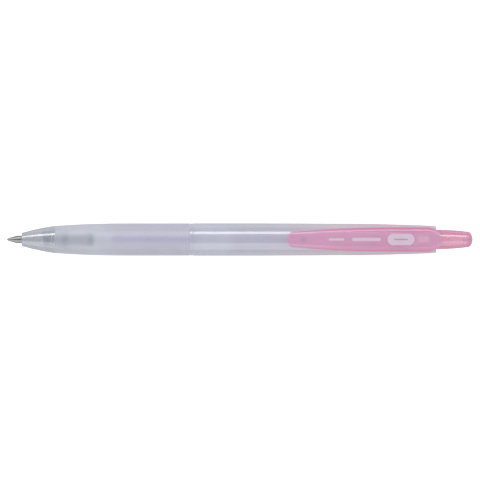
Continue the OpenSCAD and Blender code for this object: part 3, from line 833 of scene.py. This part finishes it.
def clip_top(s):
    """Height of the clip's ridge above the axis."""
    if s < CREST_AT:
        return CREST_H - FREE_DROP * ((CREST_AT - s) / (CREST_AT - CLIP_AT)) ** 2
    return CREST_H - TAIL_DROP * ((s - CREST_AT) / (CLIP_END - CREST_AT)) ** 3


def smooth(t):
    t = max(0.0, min(1.0, t))
    return t * t * (3 - 2 * t)


def clip_under(s):
    """Height of the clip's underside above the axis."""
    step = STEP_DROP * smooth((s - STEP_FROM) / STEP_LEN)
    lift = FREE_LIFT * smooth((CLIP_AT + LIFT_LEN - s) / LIFT_LEN)
    return ARM_UNDER - step + lift


def clip_surface(s, y):
    """Height of the clip's upper face at a place, with its crown across."""
    half = max(clip_half(s), 1e-6)
    return clip_top(s) - CROWN_DROP * (half / CLIP_HALF) * min(1.0, abs(y) / half) ** 3.6


def clip_section(s, steps=12, top_edge=0.42, under_edge=0.3):
    """Points round the clip at one place: its crowned top and its underside, both with rounded edges."""
    half = clip_half(s)
    across = [math.sin(math.pi / 2 * i / steps) for i in range(-steps, steps + 1)]
    rounding = [1 - math.sqrt(max(0.0, 1 - abs(u) ** 8)) for u in across]
    points = [(u * half, clip_surface(s, u * half) - top_edge * n) for u, n in zip(across, rounding)]
    side_top = points[-1][1]
    bottom = min(clip_under(s), side_top - 0.1)
    under = [
        (u * half * 0.985, min(bottom + under_edge * n, side_top - 0.04)) for u, n in zip(across, rounding)
    ]
    return points + under[::-1]


def clip_stations(free=2.2, tail=4.9):
    """Places of the clip's sections, closer together near its round ends."""
    places = [CLIP_AT + free * (1 - math.cos(math.pi / 2 * i / 15)) for i in range(1, 15)]
    places += [CLIP_AT + free + (CLIP_END - tail - CLIP_AT - free) * i / 48 for i in range(49)]
    return places + [CLIP_END - tail + tail * math.sin(math.pi / 2 * i / 24) for i in range(1, 24)]


def clip_mesh():
    bm = bmesh.new()
    stations = clip_stations()
    sections = [[bm.verts.new(place(s, y, z)) for y, z in clip_section(s)] for s in stations]
    count = len(sections[0])
    for a, b in zip(sections, sections[1:]):
        for k in range(count):
            n = (k + 1) % count
            bm.faces.new([a[k], a[n], b[n], b[k]])
    for end, s in ((sections[0], CLIP_AT), (sections[-1], CLIP_END)):
        middle = bm.verts.new(place(s, 0, sum((v.co.z / MM - AXIS_H) for v in end) / count))
        for k in range(count):
            bm.faces.new([end[k], end[(k + 1) % count], middle])
    # The foot that goes through the barrel's slot, and the bump under the free end.
    block(
        bm, FOOT_AT - FOOT_LEN / 2, FOOT_AT + FOOT_LEN / 2, FOOT_BOTTOM, FOOT_TOP, FOOT_WIDTH / 2, bevel=0.18,
        index=FOOT,
    )
    bump = bmesh.new()
    bmesh.ops.create_uvsphere(bump, u_segments=40, v_segments=24, radius=NUB_R * MM)
    bmesh.ops.translate(bump, vec=place(NUB_AT, 0, NUB_REACH + NUB_R), verts=bump.verts)
    join(bm, bump, NUB)
    return bm


# The last material, on the nub, is painted shade.
clip_skins = [pink_clip, pink_core, nub_painted_shade]
finish_mesh("spring_clip", clip_mesh(), "clip", clip_skins, ["clip"], sharp=40)


def printed(name, s0, s1, half, material, depth=0.02):
    """A printed bar with round ends, a thin closed skin on the clip's upper face."""
    bm = bmesh.new()
    columns, rows = 40, 8
    top, low = [], []
    for i in range(columns + 1):
        s = s0 + (s1 - s0) * (1 - math.cos(math.pi * i / columns)) / 2
        reach = min(s - s0, s1 - s, half)
        width = max(0.03, math.sqrt(max(0.0, half**2 - (half - reach) ** 2)))
        upper, lower = [], []
        for k in range(rows + 1):
            y = width * (2 * k / rows - 1)
            z = clip_surface(s, y)
            upper.append(bm.verts.new(place(s, y, z + depth)))
            lower.append(bm.verts.new(place(s, y, z - depth)))
        top.append(upper)
        low.append(lower)
    for i in range(columns):
        for k in range(rows):
            bm.faces.new([top[i][k], top[i][k + 1], top[i + 1][k + 1], top[i + 1][k]])
            bm.faces.new([low[i][k], low[i + 1][k], low[i + 1][k + 1], low[i][k + 1]])
        for k in (0, rows):
            bm.faces.new([top[i][k], top[i + 1][k], low[i + 1][k], low[i][k]])
    for i in (0, columns):
        for k in range(rows):
            bm.faces.new([top[i][k], top[i][k + 1], low[i][k + 1], low[i][k]])
    return finish_mesh(name, bm, "clip", material, None, sharp=50)


printed("clip_line_short", 97.4, 102.2, 0.32, print_ink)
printed("clip_line_long", 104.4, 113.2, 0.5, print_ink)
printed("clip_patch", 115.2, 123.4, 1.75, print_ink)
printed("clip_patch_line", 117.2, 121.4, 0.2, print_dark, depth=0.035)

# ---------------------------------------------------------------- camera, light and floor

PIXEL = 0.3029 * MM
camera = bpy.data.objects.new("camera", bpy.data.cameras.new("camera"))
camera.data.type = "ORTHO"
camera.data.ortho_scale = 480 * PIXEL
camera.location = (0.1 * PIXEL, -0.55 * PIXEL, 0.6)
camera.data.clip_start = 0.01
camera.data.clip_end = 10
bpy.context.scene.collection.objects.link(camera)
bpy.context.scene.camera = camera


def light(name, tilt, turn, distance, length, width, power):
    """A soft box aimed at the pen's middle, tilted from straight above, and turned from +Y.

    Its long side lies along the pen."""
    lamp = bpy.data.lights.new(name, "AREA")
    lamp.shape = "RECTANGLE"
    lamp.size, lamp.size_y = length, width
    lamp.energy = power
    obj = bpy.data.objects.new(name, lamp)
    t, a = math.radians(tilt), math.radians(turn)
    away = Vector((math.sin(t) * math.sin(a), math.sin(t) * math.cos(a), math.cos(t)))
    obj.location = Vector((0, 0, AXIS_H * MM)) + away * distance
    obj.rotation_mode = "QUATERNION"
    side = Vector((1, 0, 0))
    up = away.cross(side).normalized()
    obj.rotation_quaternion = Matrix((side, up, away)).transposed().to_quaternion()
    bpy.context.scene.collection.objects.link(obj)


light("strip", 48, 0, 0.5, 1.6, 0.165, 2.5)
light("fill", 55, 180, 0.9, 1.8, 1.0, 4.9)

WHITE = (1, 1, 1, 1)


def seen_or_lit(tree, seen, lit, out):
    """Joins two shaders: one for what the camera sees directly, one for the light that falls on the pen."""
    path = tree.nodes.new("ShaderNodeLightPath")
    mix = tree.nodes.new("ShaderNodeMixShader")
    tree.links.new(path.outputs["Is Camera Ray"], mix.inputs[0])
    tree.links.new(lit.outputs[0], mix.inputs[1])
    tree.links.new(seen.outputs[0], mix.inputs[2])
    tree.links.new(mix.outputs[0], out.inputs["Surface"])


world = bpy.data.worlds.new("studio")
world.use_nodes = True
tree = world.node_tree
room = tree.nodes["Background"]
room.inputs["Color"].default_value = WHITE
room.inputs["Strength"].default_value = 0.54
backdrop = tree.nodes.new("ShaderNodeBackground")
backdrop.inputs["Color"].default_value = WHITE
seen_or_lit(tree, backdrop, room, tree.nodes["World Output"])
bpy.context.scene.world = world

floor_mesh = bpy.data.meshes.new("floor")
floor_mesh.from_pydata([(-3, -3, 0), (3, -3, 0), (3, 3, 0), (-3, 3, 0)], [], [(0, 1, 2, 3)])
floor = bpy.data.objects.new("floor", floor_mesh)
floor_mat = bpy.data.materials.new("floor")
floor_mat.use_nodes = True
tree = floor_mat.node_tree
floor_seen = tree.nodes["Principled BSDF"]
floor_seen.inputs["Base Color"].default_value = (0.85, 0.85, 0.85, 1)
floor_seen.inputs["Roughness"].default_value = 0.9
floor_seen.inputs["Emission Color"].default_value = WHITE
# The floor's own glow hides the pen's shadow where the camera sees it directly, less so behind clear plastic.
depth = tree.nodes.new("ShaderNodeLightPath")
glow = tree.nodes.new("ShaderNodeMapRange")
glow.inputs["To Min"].default_value = 0.5
glow.inputs["To Max"].default_value = 0.34
tree.links.new(depth.outputs["Transparent Depth"], glow.inputs["Value"])
tree.links.new(glow.outputs["Result"], floor_seen.inputs["Emission Strength"])
floor_lit = tree.nodes.new("ShaderNodeBsdfDiffuse")
floor_lit.inputs["Color"].default_value = (0.80, 0.80, 0.80, 1)
seen_or_lit(tree, floor_seen, floor_lit, tree.nodes["Material Output"])
floor_mesh.materials.append(floor_mat)
bpy.context.scene.collection.objects.link(floor)
bpy.context.scene.view_settings.view_transform = "Standard"
bpy.context.scene.view_settings.look = "None"

# Light reaches the inside as it does through thin frosted walls: they don't shade what is in them.
for name in ("front_barrel_shell", "grip_sleeve", "rear_barrel_shell", "refill_tube_wall", "point_holder"):
    bpy.data.objects[name].visible_shadow = False
    bpy.data.objects[name].visible_diffuse = False
# The clip and the button are translucent too, so they cast no hard shadow either.
for name in ("spring_clip", "click_button"):
    bpy.data.objects[name].visible_shadow = False
